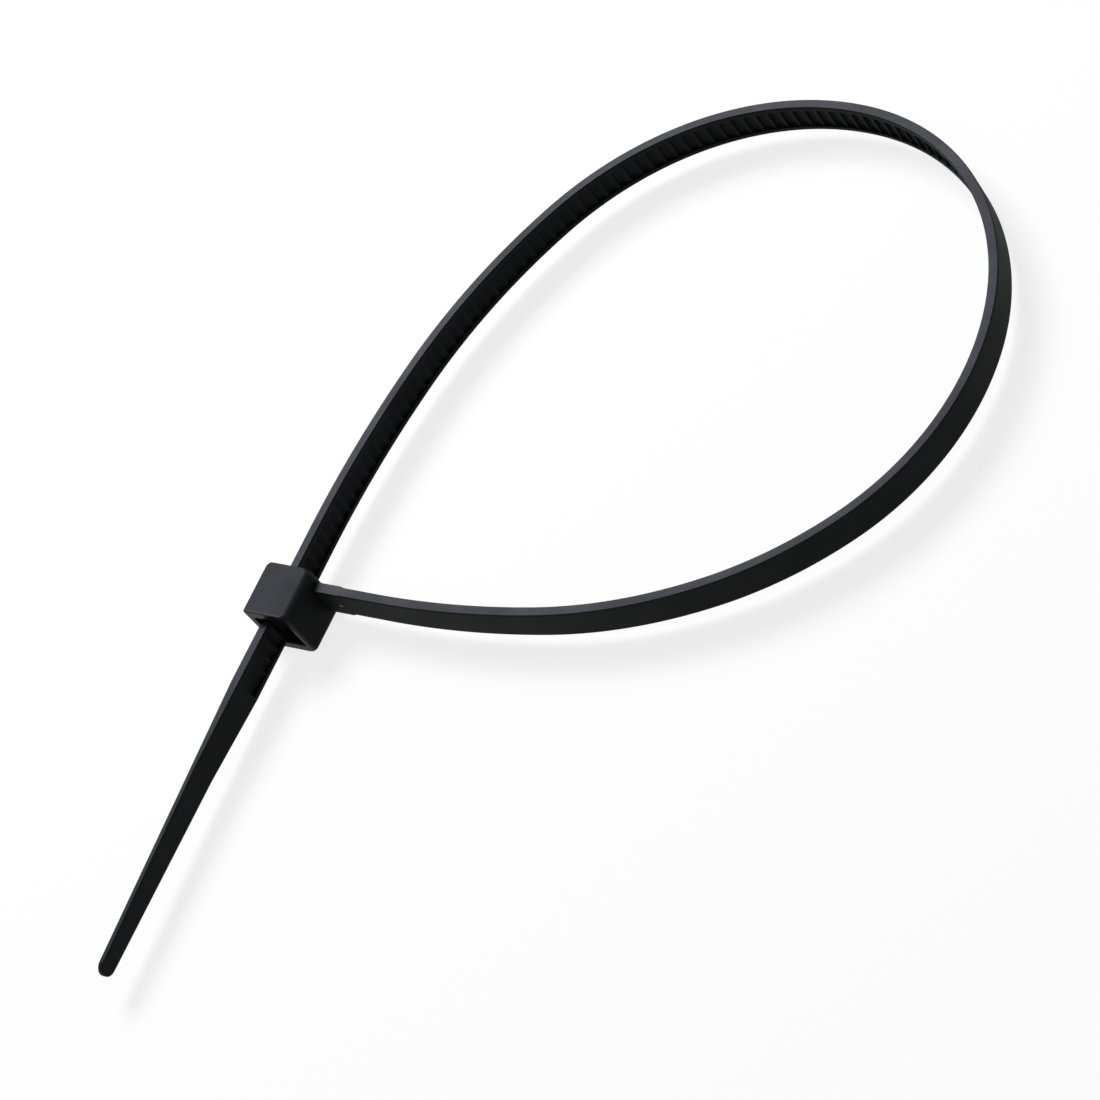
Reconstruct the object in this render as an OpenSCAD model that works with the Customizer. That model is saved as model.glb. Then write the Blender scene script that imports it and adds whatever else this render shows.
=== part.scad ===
// One-piece nylon cable tie, closed into a loop, lying on the side of its head.
// Millimetres. X runs out along the root of the strap, Y runs up through the slot, Z is up.
// The origin is on the head's lower side, level with the middle of the slot.

/* [Strap] */
// Width of the strap
strap_w = 5; // [3.8:0.1:6]
// Thickness of the strap over its side rails
strap_t = 1.45; // [1.3:0.05:1.7]
// Thickness of the floor under the teeth
floor_t = 0.85; // [0.7:0.05:0.95]
// Width of each smooth rail beside the teeth
rail_w = 0.75; // [0.5:0.05:0.95]
// Bevel along the long edges of the strap
edge_bevel = 0.15; // [0.1:0.05:0.25]

/* [Teeth] */
// Distance from one tooth to the next
tooth_pitch = 1.9; // [1.5:0.05:2.3]
// Height of a tooth above the floor
tooth_h = 0.42; // [0.3:0.02:0.46]
// Length of the slope that slides past the pawl
tooth_ramp = 0.95; // [0.7:0.05:1.05]
// Length of the flat crest of a tooth
tooth_crest = 0.2; // [0.1:0.05:0.25]
// Length of the steep face that locks on the pawl
tooth_lock = 0.08; // [0.05:0.01:0.12]

/* [Loop] */
// Straight run from the middle of the head to the first bend
entry_run = 11; // [8:0.5:15]
// Bend radius after the gentle lead-out on the far side
far_shoulder_r = 85; // [73:1:97]
// Bend radius over the crown of the loop
crown_r = 42.6; // [38:0.2:47]
// Bend radius of the tight seat that holds the bundle
seat_r = 37.6; // [34:0.2:41]
// Bend radius where the near side starts to open out
near_shoulder_r = 55; // [47:1:63]
// Bend radius along the flat near side
near_run_r = 73; // [62:1:84]
// Straight smooth run from the head to the first tooth
root_run = 10.6; // [6:0.2:14]

/* [Tail] */
// Distance from the middle of the head to the start of the tapered tail
tail_start = 13.5; // [10:0.5:24]
// Length of the tapered tail
tail_length = 43.4; // [34:0.2:56]
// Length over which the tail thins down
tail_thinning = 13; // [8:0.5:18]
// Thickness of the thin part of the tail
tail_t = 0.85; // [0.6:0.05:1.1]
// Width of the rounded tip
tip_w = 2.8; // [1.8:0.1:3.4]
// Sideways lean of the tail in degrees
tail_lean = 1.25; // [0:0.25:4]

/* [Head] */
// Width of the head across the strap
head_w = 9; // [8.6:0.1:10.5]
// Height of the head along the slot
head_h = 8; // [7:0.1:9.2]
// Wall behind the smooth face of the strap
back_wall = 2.15; // [1.8:0.05:2.6]
// Depth of the pawl chamber from the smooth side of the slot
chamber_d = 4.4; // [4.2:0.1:5.2]
// Wall between the pawl chamber and the root of the strap
front_wall = 1.45; // [1.1:0.05:2]
// Rim left at both sides of the wide mouth where the tail comes out
mouth_side_rim = 1.5; // [1.1:0.05:1.7]
// Rim left between the mouth and the face with the root
mouth_front_rim = 1.3; // [0.9:0.05:1.4]
// Rim left between the mouth and the back of the head
mouth_back_rim = 1.2; // [0.9:0.05:1.6]
// Depth of the wide mouth
mouth_depth = 1; // [0.6:0.1:1.4]
// Rounding of the head's edge over the root
entry_round = 1; // [0.6:0.1:1.3]
// Rounding of the head's long edges on the side of the root
front_round = 1.2; // [0.6:0.1:1.4]
// Rounding of the head's long edges at its back
back_round = 0.4; // [0.3:0.05:0.8]
// Rounding of the two edges of the head beside the mouth
exit_round = 0.3; // [0.2:0.05:0.4]
// Height of the root above the middle of the head
root_offset = 2.4; // [2:0.1:2.6]
// Length of the thicker collar at the root
collar_length = 4.5; // [3:0.1:6]
// How far the collar stands proud of the strap
collar_step = 0.1; // [0.05:0.05:0.2]
// Distance from the head to the nub where the moulding's gate was cut
gate_reach = 3.7; // [1:0.1:4.5]
// Width of that nub
gate_w = 0.5; // [0.3:0.1:0.8]

/* [Pawl] */
// Gap between the strap and the slot all round
slot_gap = 0.1; // [0.06:0.01:0.16]
// Gap between the pawl's teeth and the strap's teeth
tooth_gap = 0.07; // [0.05:0.01:0.1]
// Thickness of the pawl at its hinge
hinge_t = 0.6; // [0.45:0.05:0.8]
// Thickness of the pawl behind its teeth
pawl_t = 1.35; // [1.1:0.05:1.6]
// Height of the hinge above the middle of the head
hinge_y = 1.9; // [1.6:0.1:2.2]
// How far the pawl's tip reaches below the middle of the head
pawl_reach = 2.3; // [2.1:0.1:2.6]
// Length of the thick pad behind the pawl's teeth
pad_length = 2.2; // [1.8:0.1:2.6]
// Bevel on the pawl's tip
tip_bevel = 0.3; // [0.2:0.05:0.35]
// Gap between each side of the pawl and its chamber
pawl_side_gap = 0.2; // [0.15:0.05:0.35]

/* [Hidden] */
plastic = "#1b1c1e";
fine = 96;
// Turns of the bends in degrees, from the slot round to the root; the first and last radii are solved
turns = [10, 20, 70, 120, 20, 20, 10];
mid_z = head_w / 2;
slot_half = strap_t / 2 + slot_gap;
slot_side = strap_w / 2 + slot_gap;
head_back = -slot_half - back_wall;
chamber_end = -slot_half + chamber_d;
head_front = chamber_end + front_wall;
head_top = head_h / 2;
mouth_length = head_front - head_back - mouth_front_rim - mouth_back_rim;
floor_in = floor_t - strap_t / 2;
tooth_tip = floor_in + tooth_h;
// The teeth stand on a band that is sunk this far into the floor and the rails
tooth_embed = 0.12;
band_depth = 0.4;
band_overlap = 0.2;
band_back = floor_in - band_depth;
band_side = strap_w / 2 - rail_w + band_overlap;
// From the pawl's tip to the face that locks, and the hinge's thin length and root in the head
tip_land = 0.35;
tip_slope = 0.5;
hinge_length = 0.6;
hinge_embed = 0.3;
pawl_embed = 0.1;
// Cuts run this far past the faces they open
cut = 1;
// Lengths of strap overlap where they meet, and every other one is a hair thicker, so that each joint is sound
seam_lap = 0.3;
seam_step = 0.01;

// Heading at the start of bend i, in degrees from +X
function heading(i) = i == 0 ? 90 : heading(i - 1) - turns[i - 1];
// Where a clockwise bend of unit radius leads, from heading a through turn b
function chord(a, b) = [sin(a) - sin(a - b), cos(a - b) - cos(a)];
function total(list, i = 0) = i >= len(list) ? [0, 0] : list[i] + total(list, i + 1);
function cross2(a, b) = a.x * b.y - a.y * b.x;

// The two gentle leads take up whatever the driven bends leave over, so the loop always closes
driven_r = [0, far_shoulder_r, crown_r, seat_r, near_shoulder_r, near_run_r, 0];
driven_path = total([for (i = [1 : 5]) driven_r[i] * chord(heading(i), turns[i])]);
loop_start = [0, entry_run];
loop_end = [head_front + root_run, root_offset];
left_over = loop_end - loop_start - driven_path;
far_lead = chord(heading(0), turns[0]);
near_lead = chord(heading(6), turns[6]);
far_lead_r = cross2(left_over, near_lead) / cross2(far_lead, near_lead);
near_lead_r = cross2(far_lead, left_over) / cross2(far_lead, near_lead);
radii = [far_lead_r, far_shoulder_r, crown_r, seat_r, near_shoulder_r, near_run_r, near_lead_r];
bends = len(turns);

// Start point of bend i, and the distance along the strap at which it starts
function bend_start(i) = i == 0 ? loop_start : bend_start(i - 1) + radii[i - 1] * chord(heading(i - 1), turns[i - 1]);
function bend_reach(i) = i == 0 ? entry_run : bend_reach(i - 1) + radii[i - 1] * turns[i - 1] * PI / 180;
starts = [for (i = [0 : bends]) bend_start(i)];
reaches = [for (i = [0 : bends]) bend_reach(i)];
headings = [for (i = [0 : bends]) heading(i)];
centres = [for (i = [0 : bends - 1]) starts[i] + radii[i] * [sin(headings[i]), -cos(headings[i])]];

// Point at distance s along the strap and a step towards the inside of the loop
function bend_at(s, i = 0) = s <= reaches[i + 1] || i == bends - 1 ? i : bend_at(s, i + 1);
function on_bend(s, step, i, a) = centres[i] + (radii[i] - step) * [-sin(a), cos(a)];
function on_strap(s, step) =
    s <= entry_run ? [step, s] :
    let (i = bend_at(s), a = headings[i] - (s - reaches[i]) / radii[i] * 180 / PI)
    on_bend(s, step, i, a);

// Teeth are counted from the one that the pawl locks on, up and down the strap
first_lock = -pawl_reach + tip_land + tooth_pitch;
tooth_span = tooth_ramp + tooth_crest + tooth_lock;
first_tooth = ceil((-tail_start + tooth_pitch - first_lock + tooth_span) / tooth_pitch);
last_tooth = floor((reaches[bends] - tooth_pitch - first_lock) / tooth_pitch);
function lock_at(i) = first_lock + i * tooth_pitch;

// Outline of the strap's section: first towards the inside of the loop, then across; it can be made fuller all round
module strap_section(grow = 0, channel = true) {
    in = strap_t / 2 + grow;
    side = strap_w / 2 + grow;
    lip = strap_w / 2 - rail_w - grow;
    floor_face = floor_in + grow;
    channel_edge = channel ? [[in, -lip], [floor_face, -lip], [floor_face, lip], [in, lip]] : [];
    polygon(concat(
        [[-in, -side + edge_bevel], [-in + edge_bevel, -side], [in - edge_bevel, -side], [in, -side + edge_bevel]],
        channel_edge,
        [[in, side - edge_bevel], [in - edge_bevel, side], [-in + edge_bevel, side], [-in, side - edge_bevel]]
    ));
}

// One bend of the strap: the even ones are the thicker ones, and lap over their neighbours
module strap_bend(i) {
    thicker = i % 2 == 0;
    lap = thicker ? seam_lap / radii[i] * 180 / PI : 0;
    translate([centres[i].x, centres[i].y, mid_z])
        rotate_extrude(angle = turns[i] + 2 * lap, start = headings[i] - turns[i] + 90 - lap, $fn = 3 * fine)
            translate([radii[i], 0])
                mirror([1, 0])
                    strap_section(grow = thicker ? seam_step : 0);
}

// Straight length of strap through the slot, from the tail to the first bend
module slot_run() {
    translate([0, entry_run, mid_z])
        rotate([90, 0, 0])
            linear_extrude(entry_run + tail_start)
                strap_section();
}

// Smooth length of strap at the root, with its collar
module root_section() {
    translate([head_front - front_wall / 2, root_offset, mid_z])
        rotate([90, 0, 90])
            linear_extrude(root_run + front_wall / 2)
                strap_section(channel = false);
    translate([head_front - front_wall / 2, root_offset, mid_z])
        rotate([90, 0, 90])
            linear_extrude(collar_length + front_wall / 2)
                strap_section(grow = collar_step, channel = false);
}

// Low nub on the outside of the collar, where the plastic was injected
module gate_nub() {
    nub_h = 0.1;
    nub_sink = 0.2;
    translate([head_front + gate_reach, root_offset - strap_t / 2 - collar_step - nub_h, mid_z])
        rotate([-90, 0, 0])
            cylinder(h = nub_h + collar_step + nub_sink, d = gate_w, $fn = fine);
}

// Row of saw teeth on the inside of the strap, from the tail round to the root
module teeth() {
    crests = [
        for (i = [first_tooth : last_tooth])
            let (lock = lock_at(i))
            each [
                on_strap(lock - tooth_span, floor_in - tooth_embed),
                on_strap(lock - tooth_crest - tooth_lock, tooth_tip),
                on_strap(lock - tooth_lock, tooth_tip),
                on_strap(lock, floor_in - tooth_embed)
            ]
    ];
    back = [for (i = [last_tooth : -1 : first_tooth]) on_strap(lock_at(i) - tooth_span / 2, band_back)];
    ends = [on_strap(lock_at(last_tooth), band_back)];
    starts_back = [on_strap(lock_at(first_tooth) - tooth_span, band_back)];
    translate([0, 0, mid_z - band_side])
        linear_extrude(2 * band_side)
            polygon(concat(crests, ends, back, starts_back));
}

// Plain section of the tail, w wide and t thick from its outer face; it can be made fuller all round
module tail_slice(w, t, grow = 0) {
    out = -grow;
    in = t + grow;
    side = w / 2 + grow;
    polygon([
        [out, -side + edge_bevel],
        [out + edge_bevel, -side],
        [in - edge_bevel, -side],
        [in, -side + edge_bevel],
        [in, side - edge_bevel],
        [in - edge_bevel, side],
        [out + edge_bevel, side],
        [out, side - edge_bevel]
    ]);
}

// Tapered tail: it thins down behind the last tooth and ends in a rounded tip
module tail() {
    slice = 0.02;
    thin_w = strap_w - (strap_w - tip_w) * tail_thinning / tail_length;
    module at(d) {
        translate([-strap_t / 2, -tail_start, mid_z])
            rotate([0, 0, d > 0 ? tail_lean : 0])
                translate([0, -d, 0])
                    rotate([90, 0, 0])
                        children();
    }
    hull() {
        at(-seam_lap) linear_extrude(seam_lap) tail_slice(strap_w, strap_t, seam_step);
        at(tail_thinning) linear_extrude(slice) tail_slice(thin_w, tail_t);
    }
    hull() {
        at(tail_thinning) linear_extrude(slice) tail_slice(thin_w, tail_t);
        at(tail_length - tip_w / 2)
            rotate([0, 90, 0]) {
                cylinder(h = tail_t, r = tip_w / 2 - edge_bevel, $fn = 32);
                translate([0, 0, edge_bevel])
                    cylinder(h = tail_t - 2 * edge_bevel, r = tip_w / 2, $fn = 32);
            }
    }
}

// Quarter of a rectangle that reaches out to half, with its corner rounded; quarters lap over the middle
module quarter(half, r) {
    lap = 0.5;
    translate([-lap, -lap]) square([half.x + lap - r, half.y + lap]);
    translate([-lap, -lap]) square([half.x + lap, half.y + lap - r]);
    translate([half.x - r, half.y - r]) circle(r = r, $fn = fine);
}

// Rectangle with its own rounding at each corner: low left, low right, high right and high left
module round_rect(low, high, radii) {
    half = (high - low) / 2;
    translate((low + high) / 2) {
        rotate(180) quarter(half, radii[0]);
        mirror([0, 1]) quarter(half, radii[1]);
        quarter(half, radii[2]);
        mirror([1, 0]) quarter(half, radii[3]);
    }
}

// Outside of the head, with every edge rounded
module head_block() {
    end_radii = [exit_round, exit_round, entry_round, back_round];
    side_radii = [back_round, front_round, front_round, back_round];
    intersection() {
        linear_extrude(head_w)
            round_rect([head_back, -head_top], [head_front, head_top], end_radii);
        translate([0, head_top, 0])
            rotate([90, 0, 0])
                linear_extrude(head_h)
                    round_rect([head_back, 0], [head_front, head_w], side_radii);
    }
}

// Slot for the strap, chamber for the pawl and the wide mouth round the tail
module head_hollow() {
    translate([-slot_half, -head_top - cut, mid_z - slot_side])
        cube([2 * slot_half, head_h + 2 * cut, 2 * slot_side]);
    translate([-slot_half, -head_top - cut, mid_z - slot_side - pawl_side_gap / 2])
        cube([chamber_d, head_top + cut + hinge_y, 2 * slot_side + pawl_side_gap]);
    translate([head_back + mouth_back_rim, -head_top - cut, mouth_side_rim])
        cube([mouth_length, cut + mouth_depth, head_w - 2 * mouth_side_rim]);
}

// Locking pawl: a tongue on a thin hinge, with teeth that fit between the strap's teeth
module pawl() {
    face = slot_half;
    half = slot_side - pawl_side_gap / 2;
    tooth_half = strap_w / 2 - rail_w - tooth_gap;
    body = [
        [face, hinge_y + hinge_embed],
        [face, -pawl_reach + tip_bevel],
        [face + tip_bevel, -pawl_reach],
        [face + pawl_t, -pawl_reach + tip_slope],
        [face + pawl_t, -pawl_reach + pad_length],
        [face + hinge_t, hinge_y - hinge_length],
        [face + hinge_t, hinge_y + hinge_embed]
    ];
    translate([0, 0, mid_z - half])
        linear_extrude(2 * half)
            polygon(body);
    point = floor_in + tooth_gap;
    root = face + pawl_embed;
    slope = tooth_h / tooth_ramp;
    for (i = [0 : 1]) {
        lock = lock_at(i - 1) + tooth_gap;
        foot = lock_at(i) - tooth_span - tooth_gap / 2;
        translate([0, 0, mid_z - tooth_half])
            linear_extrude(2 * tooth_half)
                polygon([[point, lock], [root, lock], [root, foot + (root - point) / slope], [point, foot]]);
    }
}

module head() {
    difference() {
        head_block();
        head_hollow();
    }
    pawl();
}

module cable_tie() {
    color(plastic) {
        head();
        root_section();
        gate_nub();
        for (i = [0 : bends - 1])
            strap_bend(i);
        slot_run();
        teeth();
        tail();
    }
}

cable_tie();
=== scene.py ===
"""Closed nylon cable tie on a white table, dressed for the camera.

The tie is one moulding, so its looks are one closed mesh too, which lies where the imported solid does. The
strap is lofted along its loop with its rails, channel and saw teeth. The head is lofted, hollowed and given
its pawl, and the two are joined at the root. Lengths are in millimetres until a mesh is written, and metres
after that.
"""
import logging
import math
from dataclasses import dataclass, field
from enum import Enum
from functools import cached_property

import bmesh
import bpy
import numpy as np
from mathutils import Matrix, Vector


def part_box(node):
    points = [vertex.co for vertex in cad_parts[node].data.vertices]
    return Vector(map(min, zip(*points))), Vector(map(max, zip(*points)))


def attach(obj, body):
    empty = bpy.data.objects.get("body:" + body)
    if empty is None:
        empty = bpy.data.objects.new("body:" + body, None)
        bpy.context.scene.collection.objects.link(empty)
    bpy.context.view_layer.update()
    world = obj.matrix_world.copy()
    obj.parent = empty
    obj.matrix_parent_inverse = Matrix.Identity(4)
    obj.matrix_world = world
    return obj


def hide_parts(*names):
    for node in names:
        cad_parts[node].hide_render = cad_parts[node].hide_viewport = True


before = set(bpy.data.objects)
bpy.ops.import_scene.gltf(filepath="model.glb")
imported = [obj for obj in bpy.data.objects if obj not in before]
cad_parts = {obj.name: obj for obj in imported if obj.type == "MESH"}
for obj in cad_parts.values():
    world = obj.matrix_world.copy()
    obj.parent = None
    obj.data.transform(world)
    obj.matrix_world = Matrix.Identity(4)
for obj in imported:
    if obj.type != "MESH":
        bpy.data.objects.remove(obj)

log = logging.getLogger("cable_tie")

MM = 0.001
NODE = "cable_tie"
BODY = "root"
PHOTO_SIDE_PX = 1100
GRAIN_MARK = "coarse_grain"
# Face mark for a painted highlight: the gate's stub is painted pale to stand in for the glint on its broken
# top
PAINTED_GLINT_MARK = "gate_painted_glint"
# Points closer than this are one point that a join has doubled
WELD_GAP_MM = 0.0002
# Edges that turn by more than this are shaded sharp
SHARP_DEG = 32.0

Corner = tuple[float, float, float]


def linear(hex_colour: str) -> tuple[float, float, float, float]:
    """Turn an sRGB colour into the linear values that a shader takes.

    Args:
        hex_colour: the colour as "#rrggbb".

    Returns:
        Red, green and blue in linear light, and an alpha of 1.
    """
    parts = [int(hex_colour[i : i + 2], 16) / 255 for i in (1, 3, 5)]
    light = [c / 12.92 if c <= 0.04045 else ((c + 0.055) / 1.055) ** 2.4 for c in parts]
    return (*light, 1.0)


def add_node(
    tree: bpy.types.NodeTree, kind: str, settings: dict | None = None, **links: bpy.types.NodeSocket
) -> bpy.types.Node:
    """Add one shader node with its settings, and feed its inputs.

    Args:
        tree: the node tree that takes it.
        kind: the node's type, such as "ShaderNodeTexNoise".
        settings: attributes of the node by name, and inputs by their own name or number.
        links: an output socket for each input, by the input's name with underscores for spaces, or by its
            number as i0, i1 and so on.

    Returns:
        The new node.
    """
    node = tree.nodes.new(kind)
    for name, value in (settings or {}).items():
        if isinstance(name, int) or name in node.inputs:
            node.inputs[name].default_value = value
        else:
            setattr(node, name, value)
    for name, socket in links.items():
        key = int(name[1:]) if name[0] == "i" and name[1:].isdigit() else name.replace("_", " ")
        tree.links.new(socket, node.inputs[key])
    return node


def new_object(name: str, points: np.ndarray, faces: list[tuple[int, ...]]) -> bpy.types.Object:
    """Make a mesh object from points in millimetres.

    Args:
        name: the object's name.
        points: one row of X, Y and Z for each point.
        faces: the points of each face, by their row.

    Returns:
        The object, linked to the scene, with its normals turned outwards.
    """
    mesh = bpy.data.meshes.new(name)
    mesh.from_pydata((points * MM).tolist(), [], faces)
    work = bmesh.new()
    work.from_mesh(mesh)
    bmesh.ops.recalc_face_normals(work, faces=work.faces)
    work.to_mesh(mesh)
    work.free()
    made = bpy.data.objects.new(name, mesh)
    bpy.context.scene.collection.objects.link(made)
    return made


def loft(name: str, rings: list[np.ndarray]) -> bpy.types.Object:
    """Skin a row of closed rings, and cap both ends.

    Args:
        name: the object's name.
        rings: arrays of X, Y and Z in millimetres, all with the same number of points.

    Returns:
        A closed mesh.
    """
    count = len(rings[0])
    faces = []
    for row in range(len(rings) - 1):
        low = row * count
        high = low + count
        faces += [(low + i, low + (i + 1) % count, high + (i + 1) % count, high + i) for i in range(count)]
    faces.append(tuple(range(count))[::-1])
    faces.append(tuple(range((len(rings) - 1) * count, len(rings) * count)))
    return new_object(name, np.concatenate(rings), faces)


def quarter(
    centre: tuple[float, float], radius: float, start_deg: float, steps: int
) -> list[tuple[float, float]]:
    """List the points of a quarter circle.

    Args:
        centre: the circle's centre.
        radius: its radius.
        start_deg: where it starts, in degrees; it turns anticlockwise from there.
        steps: how many chords it has.

    Returns:
        The points, both ends included.
    """
    angles = [math.radians(start_deg + 90 * i / steps) for i in range(steps + 1)]
    return [(centre[0] + radius * math.cos(a), centre[1] + radius * math.sin(a)) for a in angles]


class Boolean(Enum):
    """How one solid acts on another."""

    CUT = "DIFFERENCE"
    JOIN = "UNION"


class Flare(Enum):
    """Face of the head at which an opening widens."""

    NONE = "inside the head"
    EXIT = "where the tail comes out"
    ENTRY = "where the strap goes in"


def bake_modifiers(target: bpy.types.Object) -> None:
    """Make what an object's modifiers do part of its mesh.

    Args:
        target: the object that changes.
    """
    graph = bpy.context.evaluated_depsgraph_get()
    result = bpy.data.meshes.new_from_object(target.evaluated_get(graph))
    target.modifiers.clear()
    old = target.data
    target.data = result
    bpy.data.meshes.remove(old)


def even_normals(target: bpy.types.Object, sharp_deg: float) -> None:
    """Shade an object smoothly, with each face's pull on the shading in line with its area.

    The mesh is in millimetres meanwhile, because the modifier passes over faces that are tiny in metres.

    Args:
        target: the object that changes.
        sharp_deg: edges that turn by more than this stay sharp.
    """
    target.data.shade_smooth()
    target.data.set_sharp_from_angle(angle=math.radians(sharp_deg))
    target.data.transform(Matrix.Scale(1 / MM, 4))
    modifier = target.modifiers.new("even normals", "WEIGHTED_NORMAL")
    modifier.keep_sharp = True
    bake_modifiers(target)
    target.data.transform(Matrix.Scale(MM, 4))


def combine(target: bpy.types.Object, tool: bpy.types.Object, how: Boolean) -> None:
    """Cut a solid out of another, or join it on, and delete it.

    Args:
        target: the solid that changes.
        tool: the solid that acts on it.
        how: cut or join.
    """
    modifier = target.modifiers.new(how.name, "BOOLEAN")
    modifier.operation = how.value
    modifier.solver = "EXACT"
    modifier.object = tool
    bake_modifiers(target)
    bpy.data.objects.remove(tool)


def weld(target: bpy.types.Object, gap_mm: float) -> None:
    """Merge the points that the joins left almost on top of each other, with the flat faces between them.

    Args:
        target: the object that changes.
        gap_mm: points closer than this become one.
    """
    work = bmesh.new()
    work.from_mesh(target.data)
    bmesh.ops.remove_doubles(work, verts=work.verts[:], dist=gap_mm * MM)
    bmesh.ops.dissolve_degenerate(work, edges=work.edges[:], dist=gap_mm * MM)
    work.to_mesh(target.data)
    work.free()


@dataclass(frozen=True)
class StrapSizes:
    """Section of the strap and its teeth, in millimetres."""

    width: float = 5.0
    thickness: float = 1.45
    floor: float = 0.85
    rail: float = 0.75
    edge_round: float = 0.15
    edge_crown: float = 0.4
    lip_round: float = 0.06
    tooth_pitch: float = 1.9
    tooth_height: float = 0.42
    tooth_ramp: float = 0.95
    tooth_crest: float = 0.2
    tooth_lock: float = 0.08
    tooth_round: float = 0.08

    @property
    def tooth_span(self) -> float:
        """Length of one tooth at its foot."""
        return self.tooth_ramp + self.tooth_crest + self.tooth_lock


@dataclass(frozen=True)
class TailSizes:
    """Tapered tail, in millimetres and degrees."""

    start: float = 13.5
    length: float = 43.4
    thinning: float = 13.0
    thickness: float = 0.85
    tip_width: float = 2.8
    lean: float = 1.25

    @property
    def tip_radius(self) -> float:
        """Radius of the half round at the tip."""
        return self.tip_width / 2

    @property
    def tip_start(self) -> float:
        """Distance from the start of the tail to where the half round begins."""
        return self.length - self.tip_radius


@dataclass(frozen=True)
class HeadSizes:
    """Head, chamber and pawl, in millimetres."""

    width: float = 9.0
    height: float = 8.0
    back_wall: float = 2.15
    chamber_depth: float = 4.4
    front_wall: float = 1.45
    mouth_side_rim: float = 1.5
    mouth_front_rim: float = 1.3
    mouth_back_rim: float = 1.2
    mouth_depth: float = 1.0
    mouth_corner: float = 0.35
    slot_corner: float = 0.12
    chamber_corner: float = 0.15
    entry_round: float = 1.0
    front_round: float = 1.2
    back_round: float = 0.4
    entry_back_round: float = 0.8
    exit_round: float = 0.3
    exit_front_round: float = 0.7
    rim_round: float = 0.12
    root_offset: float = 2.4
    collar_length: float = 4.5
    collar_step: float = 0.1
    collar_ramp: float = 0.4
    gate_reach: float = 3.7
    gate_width: float = 0.5
    gate_height: float = 0.1
    # The gate's stub narrows to this share of its width, above this share of its height
    gate_taper: float = 0.7
    gate_wall: float = 0.6
    slot_gap: float = 0.1
    tooth_gap: float = 0.07
    hinge_thickness: float = 0.6
    pawl_thickness: float = 1.35
    hinge_height: float = 1.9
    pawl_reach: float = 2.3
    pad_length: float = 2.2
    tip_bevel: float = 0.3
    tip_slope: float = 0.5
    tip_land: float = 0.35
    hinge_length: float = 0.6
    hinge_embed: float = 0.3
    tooth_embed: float = 0.1
    pawl_side_gap: float = 0.2
    pawl_edge: float = 0.05
    pawl_tooth_edge: float = 0.03


def first_lock(strap: StrapSizes, head: HeadSizes) -> float:
    """Distance along the strap to the steep face that the upper tooth of the pawl holds."""
    return -head.pawl_reach + head.tip_land + strap.tooth_pitch


@dataclass(frozen=True)
class LoopPath:
    """Line of the closed strap: up through the slot, round seven clockwise bends, and back along the root.

    Distances are measured along the strap from the middle of the head, in millimetres. The first and the
    last bend take up what the others leave over, so the loop closes on the head.
    """

    root_x: float
    root_y: float
    entry_run: float = 11.0
    root_run: float = 10.6
    turns: tuple[float, ...] = (10, 20, 70, 120, 20, 20, 10)
    driven_radii: tuple[float, ...] = (85, 42.6, 37.6, 55, 73)

    @property
    def headings(self) -> list[float]:
        """Heading at the start of each bend and at the end of the last, in degrees from +X."""
        return [90 - sum(self.turns[:i]) for i in range(len(self.turns) + 1)]

    def chord(self, i: int) -> np.ndarray:
        """Say where bend i leads when its radius is 1.

        Args:
            i: the bend's number.

        Returns:
            The step in X and Y.
        """
        start, end = (math.radians(a) for a in self.headings[i : i + 2])
        return np.array([math.sin(start) - math.sin(end), math.cos(end) - math.cos(start)])

    @cached_property
    def radii(self) -> list[float]:
        """Radius of every bend."""
        last = len(self.turns) - 1
        driven = sum(r * self.chord(i + 1) for i, r in enumerate(self.driven_radii))
        gap = np.array([self.root_x + self.root_run, self.root_y]) - np.array([0, self.entry_run]) - driven
        first_r, last_r = np.linalg.solve(np.column_stack([self.chord(0), self.chord(last)]), gap)
        return [first_r, *self.driven_radii, last_r]

    @cached_property
    def reaches(self) -> list[float]:
        """Distance at which each bend starts, and at which the last ends."""
        found = [self.entry_run]
        for radius, turn in zip(self.radii, self.turns):
            found.append(found[-1] + radius * math.radians(turn))
        return found

    def places(self, distances: np.ndarray) -> tuple[np.ndarray, np.ndarray]:
        """Find the strap's middle line at many distances.

        Args:
            distances: distances along the strap.

        Returns:
            The points in X and Y, and the headings in radians.
        """
        radii, reaches, headings = self.radii, self.reaches, self.headings
        points = np.zeros((len(distances), 2))
        angles = np.full(len(distances), math.pi / 2)
        points[:, 1] = distances
        start = np.array([0, self.entry_run])
        for i, radius in enumerate(radii):
            here = distances > reaches[i]
            first = math.radians(headings[i])
            angles[here] = first - (distances[here] - reaches[i]) / radius
            turned = angles[here]
            step = np.column_stack([math.sin(first) - np.sin(turned), np.cos(turned) - math.cos(first)])
            points[here] = start + radius * step
            start = start + radius * self.chord(i)
        straight = distances > reaches[-1]
        last = math.radians(headings[-1])
        angles[straight] = last
        run = (distances[straight] - reaches[-1])[:, None]
        points[straight] = start + run * np.array([math.cos(last), math.sin(last)])
        return points, angles


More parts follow.
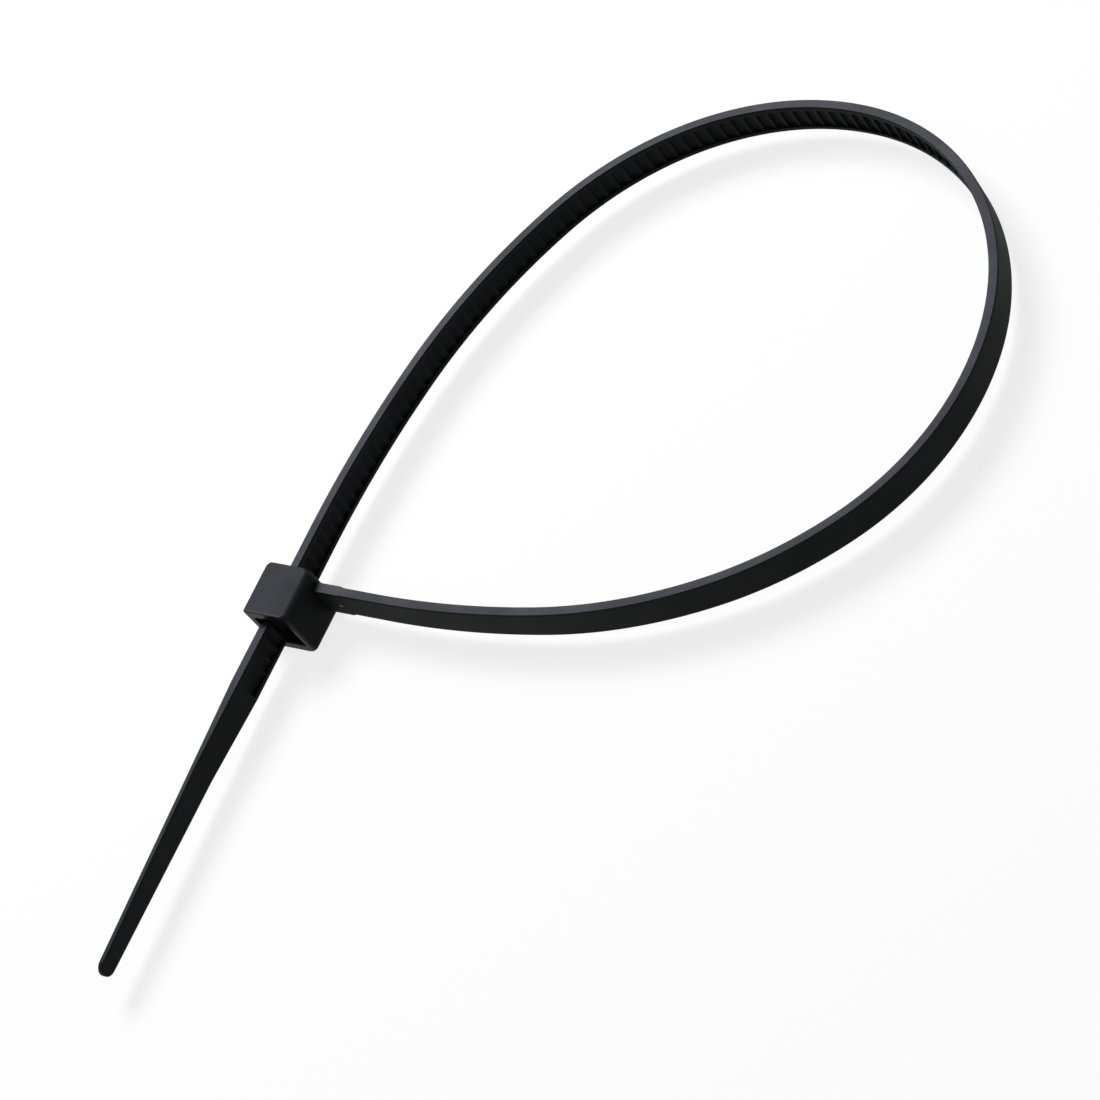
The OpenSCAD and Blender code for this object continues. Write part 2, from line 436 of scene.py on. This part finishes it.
@dataclass
class Strap:
    """Strap with its teeth, from the tip of the tail round the loop and into the head."""

    path: LoopPath
    head: HeadSizes
    middle: float
    sizes: StrapSizes = field(default_factory=StrapSizes)
    tail: TailSizes = field(default_factory=TailSizes)
    smooth_step: float = 1.2
    channel_ramp: float = 0.12
    # Length of plain floor before the first tooth and after the last
    plain_floor: float = 1.0
    # How far the strap runs on into the head, so that the two join
    embed: float = 0.5
    # Turns of the half round at the tip at which a ring stands
    tip_turns: tuple[float, ...] = (0, 15, 30, 42, 53, 62, 70, 77, 83, 88)
    crown_steps: int = 5
    lip_steps: int = 2
    # Where the section is thin or narrow, its roundings are held to these shares of it
    round_in_thickness: float = 0.48
    round_in_half: float = 0.96
    crown_in_half: float = 0.8
    lip_in_half: float = 0.3
    # Points on the flat stretches, as shares of the way out from the middle
    face_point: float = 0.48
    floor_points: tuple[float, float] = (0.6, 0.2)

    @property
    def collar_start(self) -> float:
        """Distance along the strap to the middle of the collar's ramp."""
        return self.path.reaches[-1] + self.path.root_run - self.head.collar_length

    def tooth_places(self) -> list[float]:
        """List where the teeth lock, counted from the one that the pawl holds.

        Returns:
            Distances along the strap.
        """
        s = self.sizes
        held = first_lock(s, self.head)
        low = math.ceil((-self.tail.start + s.tooth_pitch - held + s.tooth_span) / s.tooth_pitch)
        high = math.floor((self.path.reaches[-1] - s.tooth_pitch - held) / s.tooth_pitch)
        return [held + i * s.tooth_pitch for i in range(low, high + 1)]

    def tooth_profile(self) -> tuple[list[float], list[float]]:
        """Give the height of the channel's floor along the strap, with softened corners on every tooth.

        Returns:
            Distances along the strap, and the floor's height above the smooth face.
        """
        s = self.sizes
        soft = s.tooth_round
        # The steep face leaves little length for its two corners
        steep_soft = soft / 3
        slope = s.tooth_height / s.tooth_ramp
        places, heights = [], []
        for lock in self.tooth_places():
            foot = lock - s.tooth_span
            crest = foot + s.tooth_ramp
            edge = crest + s.tooth_crest
            shape = [
                (foot - soft, 0),
                (foot + soft, soft * slope),
                (crest - soft, s.tooth_height - soft * slope),
                (crest + soft, s.tooth_height),
                (edge - soft, s.tooth_height),
                (edge + steep_soft, s.tooth_height - soft),
                (lock - steep_soft, soft),
                (lock + soft, 0),
            ]
            places += [p for p, _ in shape]
            heights += [s.floor + h for _, h in shape]
        return places, heights

    def stations(self) -> tuple[np.ndarray, np.ndarray, np.ndarray]:
        """Choose where the rings stand.

        Returns:
            Distances, the floor's height at each, and how far the channel is open at each, from 0 to 1.
        """
        places, heights = self.tooth_profile()
        tail, collar, ramp = self.tail, self.collar_start, self.head.collar_ramp
        channel_start = -tail.start
        channel_end = self.path.reaches[-1]
        open_ramp = self.channel_ramp
        marks = [channel_start, channel_start + open_ramp, channel_end - open_ramp, channel_end]
        plain = marks + [places[0] - self.plain_floor, places[-1] + self.plain_floor]
        plain += [collar - ramp / 2, collar + ramp / 2, channel_end + self.path.root_run + self.embed]
        plain += [-tail.start - d for d in np.arange(self.smooth_step, tail.tip_start, self.smooth_step)]
        turns = [math.radians(a) for a in self.tip_turns]
        plain += [-tail.start - tail.tip_start - tail.tip_radius * math.sin(a) for a in turns]
        plain += list(np.arange(channel_end + self.smooth_step, collar - ramp, self.smooth_step))
        distances = np.array(sorted({round(p, 4) for p in plain + places}))
        floor = np.interp(distances, places, heights)
        opening = np.interp(distances, marks, [0, 1, 1, 0])
        return distances, floor, opening

    def outline(self, width: float, low: float, high: float, floor: float, opening: float) -> np.ndarray:
        """Draw one section of the strap.

        Args:
            width: across the strap.
            low: where the smooth face is, measured towards the inside of the loop.
            high: where the rails end.
            floor: height of the channel's floor above the smooth face.
            opening: 0 for a plain section, 1 for an open channel.

        Returns:
            Points as pairs: towards the inside of the loop, and across.
        """
        s = self.sizes
        half = width / 2
        edge = min(s.edge_round, self.round_in_thickness * (high - low), self.round_in_half * half)
        crown = min(s.edge_crown, self.crown_in_half * half)
        bow = [(edge * across, crown * along) for across, along in quarter((0, 0), 1, 0, self.crown_steps)]
        outer = [(low + edge - across, half - crown + along) for across, along in bow]
        inner = [(high - edge + across, half - crown + along) for across, along in bow][::-1]
        lip = max(half - s.rail, self.lip_in_half * half)
        soft = s.lip_round
        rail_edge = quarter((high - soft, lip + soft), soft, 270, self.lip_steps)[::-1]
        floor_edge = quarter((floor + soft, lip - soft), soft, 90, self.lip_steps)
        channel = np.array(rail_edge + floor_edge + [(floor, lip * share) for share in self.floor_points])
        span = np.linspace(half - crown, 0, len(channel) + 2)[1:-1]
        flat = np.column_stack([np.full(len(channel), high), span])
        inside = (1 - opening) * flat + opening * channel
        corners = [(low, (half - crown) * self.face_point)] + outer + inner
        upper = np.concatenate([np.array(corners), inside])
        lower = upper[::-1] * np.array([1, -1])
        return np.concatenate([upper, lower])

    def tail_section(self, along: float) -> tuple[float, float, float]:
        """Size one section of the tail, which narrows and thins, and ends in a half round.

        Args:
            along: distance from where the tail starts to narrow.

        Returns:
            Its width, where its smooth face is, and where its inner face is.
        """
        s, t = self.sizes, self.tail
        width = s.width + (t.tip_width - s.width) * min(along / t.tip_start, 1)
        high = s.thickness + (t.thickness - s.thickness) * min(along / t.thinning, 1)
        past = along - t.tip_start
        if past > 0:
            width = 2 * math.sqrt(max(t.tip_radius**2 - past**2, 0))
        short = s.edge_round - (t.length - along)
        nose = s.edge_round - math.sqrt(s.edge_round**2 - short**2) if short > 0 else 0.0
        return width, nose, high - nose

    def ring(
        self, place: float, centre: np.ndarray, angle: float, floor: float, opening: float
    ) -> np.ndarray:
        """Set one section of the strap in its place.

        Args:
            place: distance along the strap.
            centre: the middle line's point there, in X and Y.
            angle: the middle line's heading there, in radians.
            floor: height of the channel's floor above the smooth face.
            opening: 0 for a plain section, 1 for an open channel.

        Returns:
            The section's points in X, Y and Z.
        """
        s, t = self.sizes, self.tail
        along = -place - t.start
        if along > 0:
            lean = math.radians(t.lean)
            inward = np.array([math.cos(lean), math.sin(lean)])
            origin = np.array([-s.thickness / 2, -t.start])
            origin = origin + along * np.array([math.sin(lean), -math.cos(lean)])
            width, low, high = self.tail_section(along)
        else:
            inward = np.array([math.sin(angle), -math.cos(angle)])
            origin = centre - s.thickness / 2 * inward
            width, low, high = s.width, 0.0, s.thickness
        risen = min(max((place - self.collar_start) / self.head.collar_ramp + 0.5, 0), 1)
        grown = risen * self.head.collar_step
        section = self.outline(width + 2 * grown, low - grown, high + grown, floor, opening)
        ground = origin + section[:, :1] * inward
        return np.column_stack([ground, self.middle + section[:, 1]])

    def build(self) -> bpy.types.Object:
        """Loft the strap.

        Returns:
            One closed mesh.
        """
        distances, floors, openings = self.stations()
        centres, angles = self.path.places(distances)
        stations = zip(distances, centres, angles, floors, openings)
        return loft("strap", [self.ring(*station) for station in stations])


@dataclass(frozen=True)
class Opening:
    """Opening in the head, in millimetres: its sides in X, half its width and its ends along the slot."""

    name: str
    x: tuple[float, float]
    half: float
    y: tuple[float, float]
    corner: float
    flare: Flare = Flare.NONE


@dataclass
class Head:
    """Head with its slot, mouth, chamber and pawl."""

    strap: StrapSizes
    sizes: HeadSizes = field(default_factory=HeadSizes)
    corner_steps: int = 6
    # Turns of a rounded edge at which a ring stands
    edge_turns: tuple[float, ...] = (0, 12, 25, 38, 50, 60, 70, 80, 90)
    nub_sides: int = 24
    # How far a cutter or a box reaches past the face that it passes
    overshoot: float = 1.0
    # The rounding round an opening passes through the point at this share of its depth and of its width
    flare_share: float = 0.3
    # Share of the nub's height, from its foot, that isn't painted with the pale glint of its stub
    nub_foot: float = 0.2
    skin: float = 0.01

    @property
    def locks(self) -> tuple[float, float]:
        """Distances along the strap to the two steep faces that the pawl holds."""
        upper = first_lock(self.strap, self.sizes)
        return upper - self.strap.tooth_pitch, upper

    @property
    def slot_half(self) -> float:
        """Half of the slot, through the strap's thickness."""
        return self.strap.thickness / 2 + self.sizes.slot_gap

    @property
    def slot_half_width(self) -> float:
        """Half of the slot, across the strap."""
        return self.strap.width / 2 + self.sizes.slot_gap

    @property
    def back(self) -> float:
        """X of the face behind the slot."""
        return -self.slot_half - self.sizes.back_wall

    @property
    def front(self) -> float:
        """X of the face that carries the root."""
        return self.sizes.chamber_depth - self.slot_half + self.sizes.front_wall

    @property
    def collar_face(self) -> float:
        """Y of the outer face of the collar at the root."""
        return self.sizes.root_offset - self.strap.thickness / 2 - self.sizes.collar_step

    def ring(
        self, y: float, x: tuple[float, float], z: tuple[float, float], back: float, front: float
    ) -> np.ndarray:
        """Draw a rounded rectangle across the slot's direction.

        Args:
            y: its height along the slot.
            x: its sides in X.
            z: its sides in Z.
            back: the rounding of its two corners at the back.
            front: the rounding of its two corners at the front.

        Returns:
            Its points in X, Y and Z.
        """
        corners = [
            (x[1] - front, z[0] + front, front, 270),
            (x[1] - front, z[1] - front, front, 0),
            (x[0] + back, z[1] - back, back, 90),
            (x[0] + back, z[0] + back, back, 180),
        ]
        points = []
        for centre_x, centre_z, radius, start in corners:
            points += quarter((centre_x, centre_z), radius, start, self.corner_steps)
        return np.array([(point_x, y, point_z) for point_x, point_z in points])

    @staticmethod
    def inset(depth: float, radius: float) -> float:
        """Say how far a side stands back at a depth below the end face.

        Args:
            depth: distance from the end face.
            radius: rounding of the edge.

        Returns:
            The step back from the side.
        """
        if depth >= radius:
            return 0.0
        return radius - math.sqrt(max(radius**2 - (radius - depth) ** 2, 0))

    def block(self) -> bpy.types.Object:
        """Loft the outside of the head, with every edge rounded.

        Returns:
            A closed mesh.
        """
        s = self.sizes
        top = s.height / 2
        turns = [math.radians(a) for a in self.edge_turns]
        rings = []
        ends = ((-1, s.exit_round, s.exit_front_round), (1, s.entry_back_round, s.entry_round))
        for end, back_edge, front_edge in ends:
            radii = (back_edge, front_edge, s.rim_round)
            depths = {round(radius * (1 - math.sin(a)), 5) for radius in radii for a in turns}
            row = []
            for depth in sorted(depths):
                in_z = self.inset(depth, s.rim_round)
                x = (self.back + self.inset(depth, back_edge), self.front - self.inset(depth, front_edge))
                z = (in_z, s.width - in_z)
                row.append(self.ring(end * (top - depth), x, z, s.back_round, s.front_round))
            rings += row if end < 0 else row[::-1]
        return loft("head", rings)

    def cutter(self, opening: Opening) -> bpy.types.Object:
        """Make the solid that cuts one opening, a little wider where it meets a face.

        Args:
            opening: its place and size.

        Returns:
            A closed mesh.
        """
        s = self.sizes
        middle, soft = s.width / 2, s.rim_round
        share = self.flare_share * soft

        def at(height: float, wide: float) -> np.ndarray:
            """Draw one ring of the cutter.

            Args:
                height: its height along the slot.
                wide: how much wider it is all round.

            Returns:
                Its points.
            """
            x = (opening.x[0] - wide, opening.x[1] + wide)
            z = (middle - opening.half - wide, middle + opening.half + wide)
            return self.ring(height, x, z, opening.corner + wide, opening.corner + wide)

        flare = [(-self.overshoot, soft), (0.0, soft), (share, share), (soft, 0.0)]
        low = [at(opening.y[0], 0)]
        high = [at(opening.y[1], 0)]
        if opening.flare is Flare.EXIT:
            low = [at(opening.y[0] + depth, wide) for depth, wide in flare]
        if opening.flare is Flare.ENTRY:
            high = [at(opening.y[1] - depth, wide) for depth, wide in flare[::-1]]
        return loft(opening.name, low + high)

    def prism(
        self, name: str, outline: list[tuple[float, float]], half: float, soft: float
    ) -> bpy.types.Object:
        """Raise an outline in X and Y across the strap, and soften its edges.

        Args:
            name: its name.
            outline: its corners.
            half: half of its width.
            soft: size of the softened edges.

        Returns:
            A closed mesh.
        """
        middle = self.sizes.width / 2
        rings = [np.array([(px, py, middle + side * half) for px, py in outline]) for side in (-1, 1)]
        made = loft(name, rings)
        work = bmesh.new()
        work.from_mesh(made.data)
        bmesh.ops.bevel(work, geom=work.edges[:], offset=soft * MM, segments=2, profile=0.5, affect="EDGES")
        work.to_mesh(made.data)
        work.free()
        return made

    def pawl(self) -> list[bpy.types.Object]:
        """Make the tongue that hangs on a thin hinge, and its two teeth.

        Returns:
            The tongue and the teeth, each a closed mesh.
        """
        s, strap = self.sizes, self.strap
        face = self.slot_half
        half = self.slot_half_width - s.pawl_side_gap / 2
        tongue = [
            (face, s.hinge_height + s.hinge_embed),
            (face, -s.pawl_reach + s.tip_bevel),
            (face + s.tip_bevel, -s.pawl_reach),
            (face + s.pawl_thickness, -s.pawl_reach + s.tip_slope),
            (face + s.pawl_thickness, -s.pawl_reach + s.pad_length),
            (face + s.hinge_thickness, s.hinge_height - s.hinge_length),
            (face + s.hinge_thickness, s.hinge_height + s.hinge_embed),
        ]
        point = strap.floor - strap.thickness / 2 + s.tooth_gap
        root = face + s.tooth_embed
        slope = strap.tooth_height / strap.tooth_ramp
        teeth = []
        for lock in self.locks:
            low = lock + s.tooth_gap
            foot = lock + strap.tooth_pitch - strap.tooth_span - s.tooth_gap / 2
            teeth.append([(point, low), (root, low), (root, foot + (root - point) / slope), (point, foot)])
        tooth_half = strap.width / 2 - strap.rail - s.tooth_gap
        made = [self.prism("pawl", tongue, half, s.pawl_edge)]
        return made + [self.prism("pawl_tooth", tooth, tooth_half, s.pawl_tooth_edge) for tooth in teeth]

    def openings(self) -> tuple[Opening, Opening, Opening]:
        """Place the mouth, the slot and the chamber.

        Returns:
            The three, in the order in which they are cut.
        """
        s = self.sizes
        top = s.height / 2
        below = -top - self.overshoot
        return (
            Opening(
                name="mouth",
                x=(self.back + s.mouth_back_rim, self.front - s.mouth_front_rim),
                half=s.width / 2 - s.mouth_side_rim,
                y=(-top, s.mouth_depth - top),
                corner=s.mouth_corner,
                flare=Flare.EXIT,
            ),
            Opening(
                name="slot",
                x=(-self.slot_half, self.slot_half),
                half=self.slot_half_width,
                y=(below, top),
                corner=s.slot_corner,
                flare=Flare.ENTRY,
            ),
            Opening(
                name="chamber",
                x=(-self.slot_half, s.chamber_depth - self.slot_half),
                half=self.slot_half_width + s.pawl_side_gap / 2,
                y=(below, s.hinge_height),
                corner=s.chamber_corner,
            ),
        )

    def build(self) -> bpy.types.Object:
        """Loft the block, hollow it and hang the pawl in it.

        Returns:
            One closed mesh.
        """
        head = self.block()
        for opening in self.openings():
            combine(head, self.cutter(opening), Boolean.CUT)
        for part in self.pawl():
            combine(head, part, Boolean.JOIN)
        return head

    def box(self) -> tuple[Corner, Corner]:
        """Say where the head is, with its whole skin.

        Returns:
            The lower and the upper corner.
        """
        s = self.sizes
        top, skin = s.height / 2, self.skin
        return (self.back - skin, -top - skin, -skin), (self.front + skin, top + skin, s.width + skin)

    def exit_box(self) -> tuple[Corner, Corner]:
        """Say where the face round the mouth is.

        Returns:
            The lower and the upper corner.
        """
        low, high = self.box()
        return low, (high[0], -self.sizes.height / 2 + self.sizes.exit_round, high[2])

    def nub_box(self) -> tuple[Corner, Corner]:
        """Say where the nub stands proud of the collar.

        Returns:
            The lower and the upper corner.
        """
        s, face = self.sizes, self.collar_face
        x, z, half = self.front + s.gate_reach, s.width / 2, s.gate_width
        foot = face - self.nub_foot * s.gate_height
        return (x - half, face - self.overshoot, z - half), (x + half, foot, z + half)

    def gate_nub(self) -> bpy.types.Object:
        """Loft the low nub on the outside of the collar, where the plastic was injected.

        Returns:
            A closed mesh.
        """
        s = self.sizes
        middle = (self.front + s.gate_reach, s.width / 2)
        turns = [math.tau * i / self.nub_sides for i in range(self.nub_sides)]
        levels = (
            (-s.collar_step, s.gate_width / 2),
            (s.gate_wall * s.gate_height, s.gate_width / 2),
            (s.gate_height, s.gate_taper * s.gate_width / 2),
        )
        rings = []
        for height, radius in levels:
            circle = [(middle[0] + radius * math.cos(a), middle[1] + radius * math.sin(a)) for a in turns]
            rings.append(np.array([(x, self.collar_face - height, z) for x, z in circle]))
        return loft("gate_nub", rings)


@dataclass(frozen=True)
class MouldedNylon:
    """Black nylon 6/6, injection moulded: carbon black in a waxy resin, off a finely eroded steel mould.

    The eye sees a deep black with a soft satin sheen, a faint cool cast where it mirrors the sky, slow
    changes of gloss where the melt flowed, and a mould grain that only breaks up the highlights.
    """

    body: str = "#0a0a08"
    flow: str = "#0e0e0c"
    # Painted highlight: the gate's stub is painted this pale grey to stand in for the glint on its broken
    # top
    painted_glint: str = "#8c8c90"
    # Dry moulded nylon 6/6 has an index of about 1.53
    ior: float = 1.53
    # The mould's erosion marks hold back part of the mirror reflection
    specular: float = 0.09
    sheen: str = "#dde4ff"
    roughness: tuple[float, float] = (0.4, 0.48)
    # The flat faces of the mould are eroded more coarsely than its parting edges
    grain_roughness: float = 0.22
    # Erosion grain is about 0.05 mm, and is drawn at 0.3 mm, two pixels of the render, so that it shows
    grain_mm: float = 0.3
    grain_height_mm: float = 0.004
    grain_strength: float = 0.5
    # Streaks where the melt slowed and cooled against the mould
    flow_mm: float = 7.0
    # Most of the noise lies between these values
    noise_range: tuple[float, float] = (0.3, 0.7)

    def build(self) -> bpy.types.Material:
        """Make the material.

        Returns:
            A node material for the whole moulding.
        """
        made = bpy.data.materials.new("black nylon 6/6, moulded")
        made.use_nodes = True
        tree = made.node_tree
        tree.nodes.clear()
        place = add_node(tree, "ShaderNodeTexCoord").outputs["Object"]
        streaks = {"Scale": 1 / (self.flow_mm * MM), "Detail": 3.0, "Roughness": 0.5}
        flow = add_node(tree, "ShaderNodeTexNoise", streaks, Vector=place)
        tint = add_node(tree, "ShaderNodeMix", {"data_type": "RGBA"}, Factor=flow.outputs["Fac"])
        tint.inputs["A"].default_value = linear(self.body)
        tint.inputs["B"].default_value = linear(self.flow)
        # Painted highlight: faces marked on the gate's stub take the pale grey of a painted glint
        painted_glint = add_node(tree, "ShaderNodeAttribute", {"attribute_name": PAINTED_GLINT_MARK})
        colour = add_node(tree, "ShaderNodeMix", {"data_type": "RGBA"}, Factor=painted_glint.outputs["Fac"])
        colour.inputs["B"].default_value = linear(self.painted_glint)
        tree.links.new(tint.outputs["Result"], colour.inputs["A"])
        (low, high), (smooth, dull) = self.noise_range, self.roughness
        gloss_map = {"From Min": low, "From Max": high, "To Min": smooth, "To Max": dull}
        gloss = add_node(tree, "ShaderNodeMapRange", gloss_map, Value=flow.outputs["Fac"])
        coarse = add_node(tree, "ShaderNodeAttribute", {"attribute_name": GRAIN_MARK})
        duller = {"operation": "MULTIPLY_ADD", 1: self.grain_roughness}
        glossy = gloss.outputs["Result"]
        rough = add_node(tree, "ShaderNodeMath", duller, i0=coarse.outputs["Fac"], i2=glossy)
        erosion = {"Scale": 1 / (self.grain_mm * MM), "Detail": 4.0, "Roughness": 0.6}
        grain = add_node(tree, "ShaderNodeTexNoise", erosion, Vector=place)
        depth = {"Strength": self.grain_strength, "Distance": self.grain_height_mm * MM}
        relief = add_node(tree, "ShaderNodeBump", depth, Height=grain.outputs["Fac"])
        resin = {"IOR": self.ior, "Specular IOR Level": self.specular, "Specular Tint": linear(self.sheen)}
        shader = add_node(
            tree,
            "ShaderNodeBsdfPrincipled",
            resin,
            Base_Color=colour.outputs["Result"],
            Roughness=rough.outputs[0],
            Normal=relief.outputs["Normal"],
        )
        add_node(tree, "ShaderNodeOutputMaterial", Surface=shader.outputs["BSDF"])
        return made


@dataclass(frozen=True)
class CameraSizes:
    """The photograph's view: rolled about 40 degrees, looking down at about 45."""

    azimuth: float = 59.336
    elevation: float = 46.183
    roll: float = -40.878
    location_mm: tuple[float, float, float] = (340.9, -165.0, 372.43)
    focal_px: float = 3878.1
    sensor_mm: float = 36.0
    clip_m: tuple[float, float] = (0.01, 50.0)


@dataclass(frozen=True)
class Softbox:
    """One rectangular lamp.

    It is aimed at the tie from a direction, given like a view: azimuth 0 stands in front of the tie and
    looks along +Y, and elevation is above the table. Distance, width and height are in metres, and power is
    in watts.
    """

    name: str
    azimuth: float
    elevation: float
    distance: float
    width: float
    height: float
    power: float
    colour: str = "#ffffff"


@dataclass
class Studio:
    """White table, plain soft light and the camera."""

    aim: Vector
    camera: CameraSizes = field(default_factory=CameraSizes)
    table_white: str = "#f6f6f6"
    table_side_m: float = 8.0
    # How much of the tie's shadow shows on the white table
    shadow_share: float = 0.2
    # Strength of the even light that falls on the tie from all round
    sky: float = 0.08
    lamps: tuple[Softbox, ...] = (
        Softbox("key_softbox", azimuth=234, elevation=46, distance=0.9, width=0.48, height=0.34, power=10.6),
        Softbox("fill_softbox", azimuth=20, elevation=60, distance=1.2, width=0.8, height=0.8, power=1.5),
    )

    @staticmethod
    def direction(azimuth: float, elevation: float) -> Vector:
        """Give the way from the aim towards a viewer.

        Args:
            azimuth: in degrees, 0 for a viewer who looks along +Y, 90 for one who looks along -X.
            elevation: in degrees above the table.

        Returns:
            A unit vector.
        """
        a, e = math.radians(azimuth), math.radians(elevation)
        return Vector((math.sin(a) * math.cos(e), -math.cos(a) * math.cos(e), math.sin(e)))

    def place_camera(self) -> None:
        """Set up the camera that the photograph was matched with."""
        c = self.camera
        data = bpy.data.cameras.new("camera")
        data.sensor_width = c.sensor_mm
        data.lens = c.focal_px / PHOTO_SIDE_PX * c.sensor_mm
        data.clip_start, data.clip_end = c.clip_m
        made = bpy.data.objects.new("camera", data)
        bpy.context.scene.collection.objects.link(made)
        look = self.direction(c.azimuth, c.elevation).to_track_quat("Z", "Y").to_matrix().to_4x4()
        turned = look @ Matrix.Rotation(math.radians(c.roll), 4, "Z")
        made.matrix_world = Matrix.Translation(Vector(c.location_mm) * MM) @ turned
        bpy.context.scene.camera = made

    def white_for_views(self, tree: bpy.types.NodeTree, share: float) -> bpy.types.NodeSocket:
        """Say where a ray should see plain white: the camera's, and those that gloss or glass send on.

        Args:
            tree: the node tree that asks.
            share: how white it turns there.

        Returns:
            A socket that is share for those rays and 0 for the light that falls on the tie.
        """
        rays = add_node(tree, "ShaderNodeLightPath")
        camera, glossy = rays.outputs["Is Camera Ray"], rays.outputs["Is Glossy Ray"]
        clear = rays.outputs["Is Transmission Ray"]
        first = add_node(tree, "ShaderNodeMath", {"operation": "MAXIMUM"}, i0=camera, i1=glossy)
        both = add_node(tree, "ShaderNodeMath", {"operation": "MAXIMUM"}, i0=first.outputs[0], i1=clear)
        scaled = add_node(tree, "ShaderNodeMath", {"operation": "MULTIPLY", 1: share}, i0=both.outputs[0])
        return scaled.outputs[0]

    def table(self) -> None:
        """Lay the white table under the tie."""
        half = self.table_side_m / 2
        corners = [(-half, -half, 0), (half, -half, 0), (half, half, 0), (-half, half, 0)]
        mesh = bpy.data.meshes.new("table")
        mesh.from_pydata(corners, [], [(0, 1, 2, 3)])
        made = bpy.data.objects.new("table", mesh)
        bpy.context.scene.collection.objects.link(made)
        paint = bpy.data.materials.new("matt white card")
        paint.use_nodes = True
        tree = paint.node_tree
        tree.nodes.clear()
        card = add_node(tree, "ShaderNodeBsdfDiffuse", {"Color": linear(self.table_white)})
        white = add_node(tree, "ShaderNodeEmission", {"Color": (1, 1, 1, 1), "Strength": 1.0})
        share = self.white_for_views(tree, 1 - self.shadow_share)
        mix = add_node(tree, "ShaderNodeMixShader", i0=share, i1=card.outputs[0], i2=white.outputs[0])
        add_node(tree, "ShaderNodeOutputMaterial", Surface=mix.outputs[0])
        mesh.materials.append(paint)

    def lamp(self, box: Softbox) -> None:
        """Hang one softbox.

        Args:
            box: its place, size and power.
        """
        data = bpy.data.lights.new(box.name, "AREA")
        data.shape = "RECTANGLE"
        data.size, data.size_y = box.width, box.height
        data.energy = box.power
        data.color = linear(box.colour)[:3]
        made = bpy.data.objects.new(box.name, data)
        bpy.context.scene.collection.objects.link(made)
        way = self.direction(box.azimuth, box.elevation)
        made.location = self.aim + way * box.distance
        made.rotation_mode = "QUATERNION"
        made.rotation_quaternion = way.to_track_quat("Z", "Y")

    def world(self) -> None:
        """Fill the room with even light, and show it white."""
        world = bpy.data.worlds.new("studio")
        bpy.context.scene.world = world
        world.use_nodes = True
        tree = world.node_tree
        tree.nodes.clear()
        room = add_node(tree, "ShaderNodeBackground", {"Color": (1, 1, 1, 1), "Strength": self.sky})
        white = add_node(tree, "ShaderNodeBackground", {"Color": (1, 1, 1, 1), "Strength": 1.0})
        share = self.white_for_views(tree, 1.0)
        mix = add_node(tree, "ShaderNodeMixShader", i0=share, i1=room.outputs[0], i2=white.outputs[0])
        add_node(tree, "ShaderNodeOutputWorld", Surface=mix.outputs[0])

    def build(self) -> None:
        """Set up the table, the light and the camera."""
        bpy.context.scene.view_settings.view_transform = "Standard"
        self.place_camera()
        self.table()
        self.world()
        for box in self.lamps:
            self.lamp(box)


class FaceValue(Enum):
    """What a mesh tells of every face, under the mesh's own names."""

    CENTRE = "center"
    NORMAL = "normal"


@dataclass
class Marks:
    """Values on the faces of the moulding, for its material to read."""

    tie: bpy.types.Object
    # The head's faces are at least this coarse, where 1 is the coarsest
    head_grain: float = 0.43

    def read(self, what: FaceValue) -> np.ndarray:
        """Read the centre or the normal of every face.

        Args:
            what: which of the two.

        Returns:
            One row of X, Y and Z for each face.
        """
        values = np.empty(3 * len(self.tie.data.polygons))
        self.tie.data.polygons.foreach_get(what.value, values)
        return values.reshape(-1, 3)

    def inside(self, low: Corner, high: Corner) -> np.ndarray:
        """Find the faces inside a box.

        Args:
            low: the box's lower corner, in millimetres.
            high: its upper corner.

        Returns:
            True for each face whose centre lies inside.
        """
        centres = self.read(FaceValue.CENTRE) / MM
        return np.all((centres > low) & (centres < high), axis=1)

    def write(self, name: str, values: np.ndarray) -> None:
        """Write one value on each face.

        Args:
            name: the mark's name.
            values: a number for each face.
        """
        layer = self.tie.data.attributes.new(name, "FLOAT", "FACE")
        layer.data.foreach_set("value", values.astype(np.float32))

    def grain(self, head: tuple[Corner, Corner], exit_face: tuple[Corner, Corner]) -> None:
        """Mark how coarse the mould was: fine on faces that look up or down, coarse on those that stand.

        Args:
            head: the box round the head.
            exit_face: the box round the head's exit face, which was finished as finely as the edges.
        """
        values = 1 - np.abs(self.read(FaceValue.NORMAL)[:, 2])
        in_head = self.inside(*head)
        values[in_head] = np.maximum(values[in_head], self.head_grain)
        values[self.inside(*exit_face)] = 0
        self.write(GRAIN_MARK, values)

    def painted_glint(self, nub: tuple[Corner, Corner]) -> None:
        """Mark the gate's stub, which the material paints pale grey as a painted highlight for its glint.

        Args:
            nub: the box round it.
        """
        self.write(PAINTED_GLINT_MARK, self.inside(*nub))


def main() -> None:
    """Build the tie on its frame, dress it and light it."""
    logging.basicConfig(level=logging.INFO, format="%(name)s: %(message)s")
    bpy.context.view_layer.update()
    node_low, node_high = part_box(NODE)
    strap_sizes = StrapSizes()
    head_sizes = HeadSizes()
    head_maker = Head(strap_sizes, head_sizes)
    path = LoopPath(root_x=head_maker.front, root_y=head_sizes.root_offset)
    middle = node_high.z / MM / 2
    tie = Strap(path, head_sizes, middle, strap_sizes).build()
    log.info("strap: %d faces", len(tie.data.polygons))
    head = head_maker.build()
    log.info("head: %d faces", len(head.data.polygons))
    for part in (head, head_maker.gate_nub()):
        combine(tie, part, Boolean.JOIN)
    weld(tie, WELD_GAP_MM)
    tie.name = tie.data.name = "moulded_tie"
    tie.data.materials.clear()
    tie.data.materials.append(MouldedNylon().build())
    marks = Marks(tie)
    marks.grain(head_maker.box(), head_maker.exit_box())
    # Painted highlight: a pale glint painted on the gate's stub
    marks.painted_glint(head_maker.nub_box())
    even_normals(tie, SHARP_DEG)
    log.info("moulded_tie: %d faces", len(tie.data.polygons))
    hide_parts(NODE)
    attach(tie, BODY)
    centre = (node_low + node_high) / 2
    Studio(aim=centre).build()


if __name__ == "__main__":
    main()
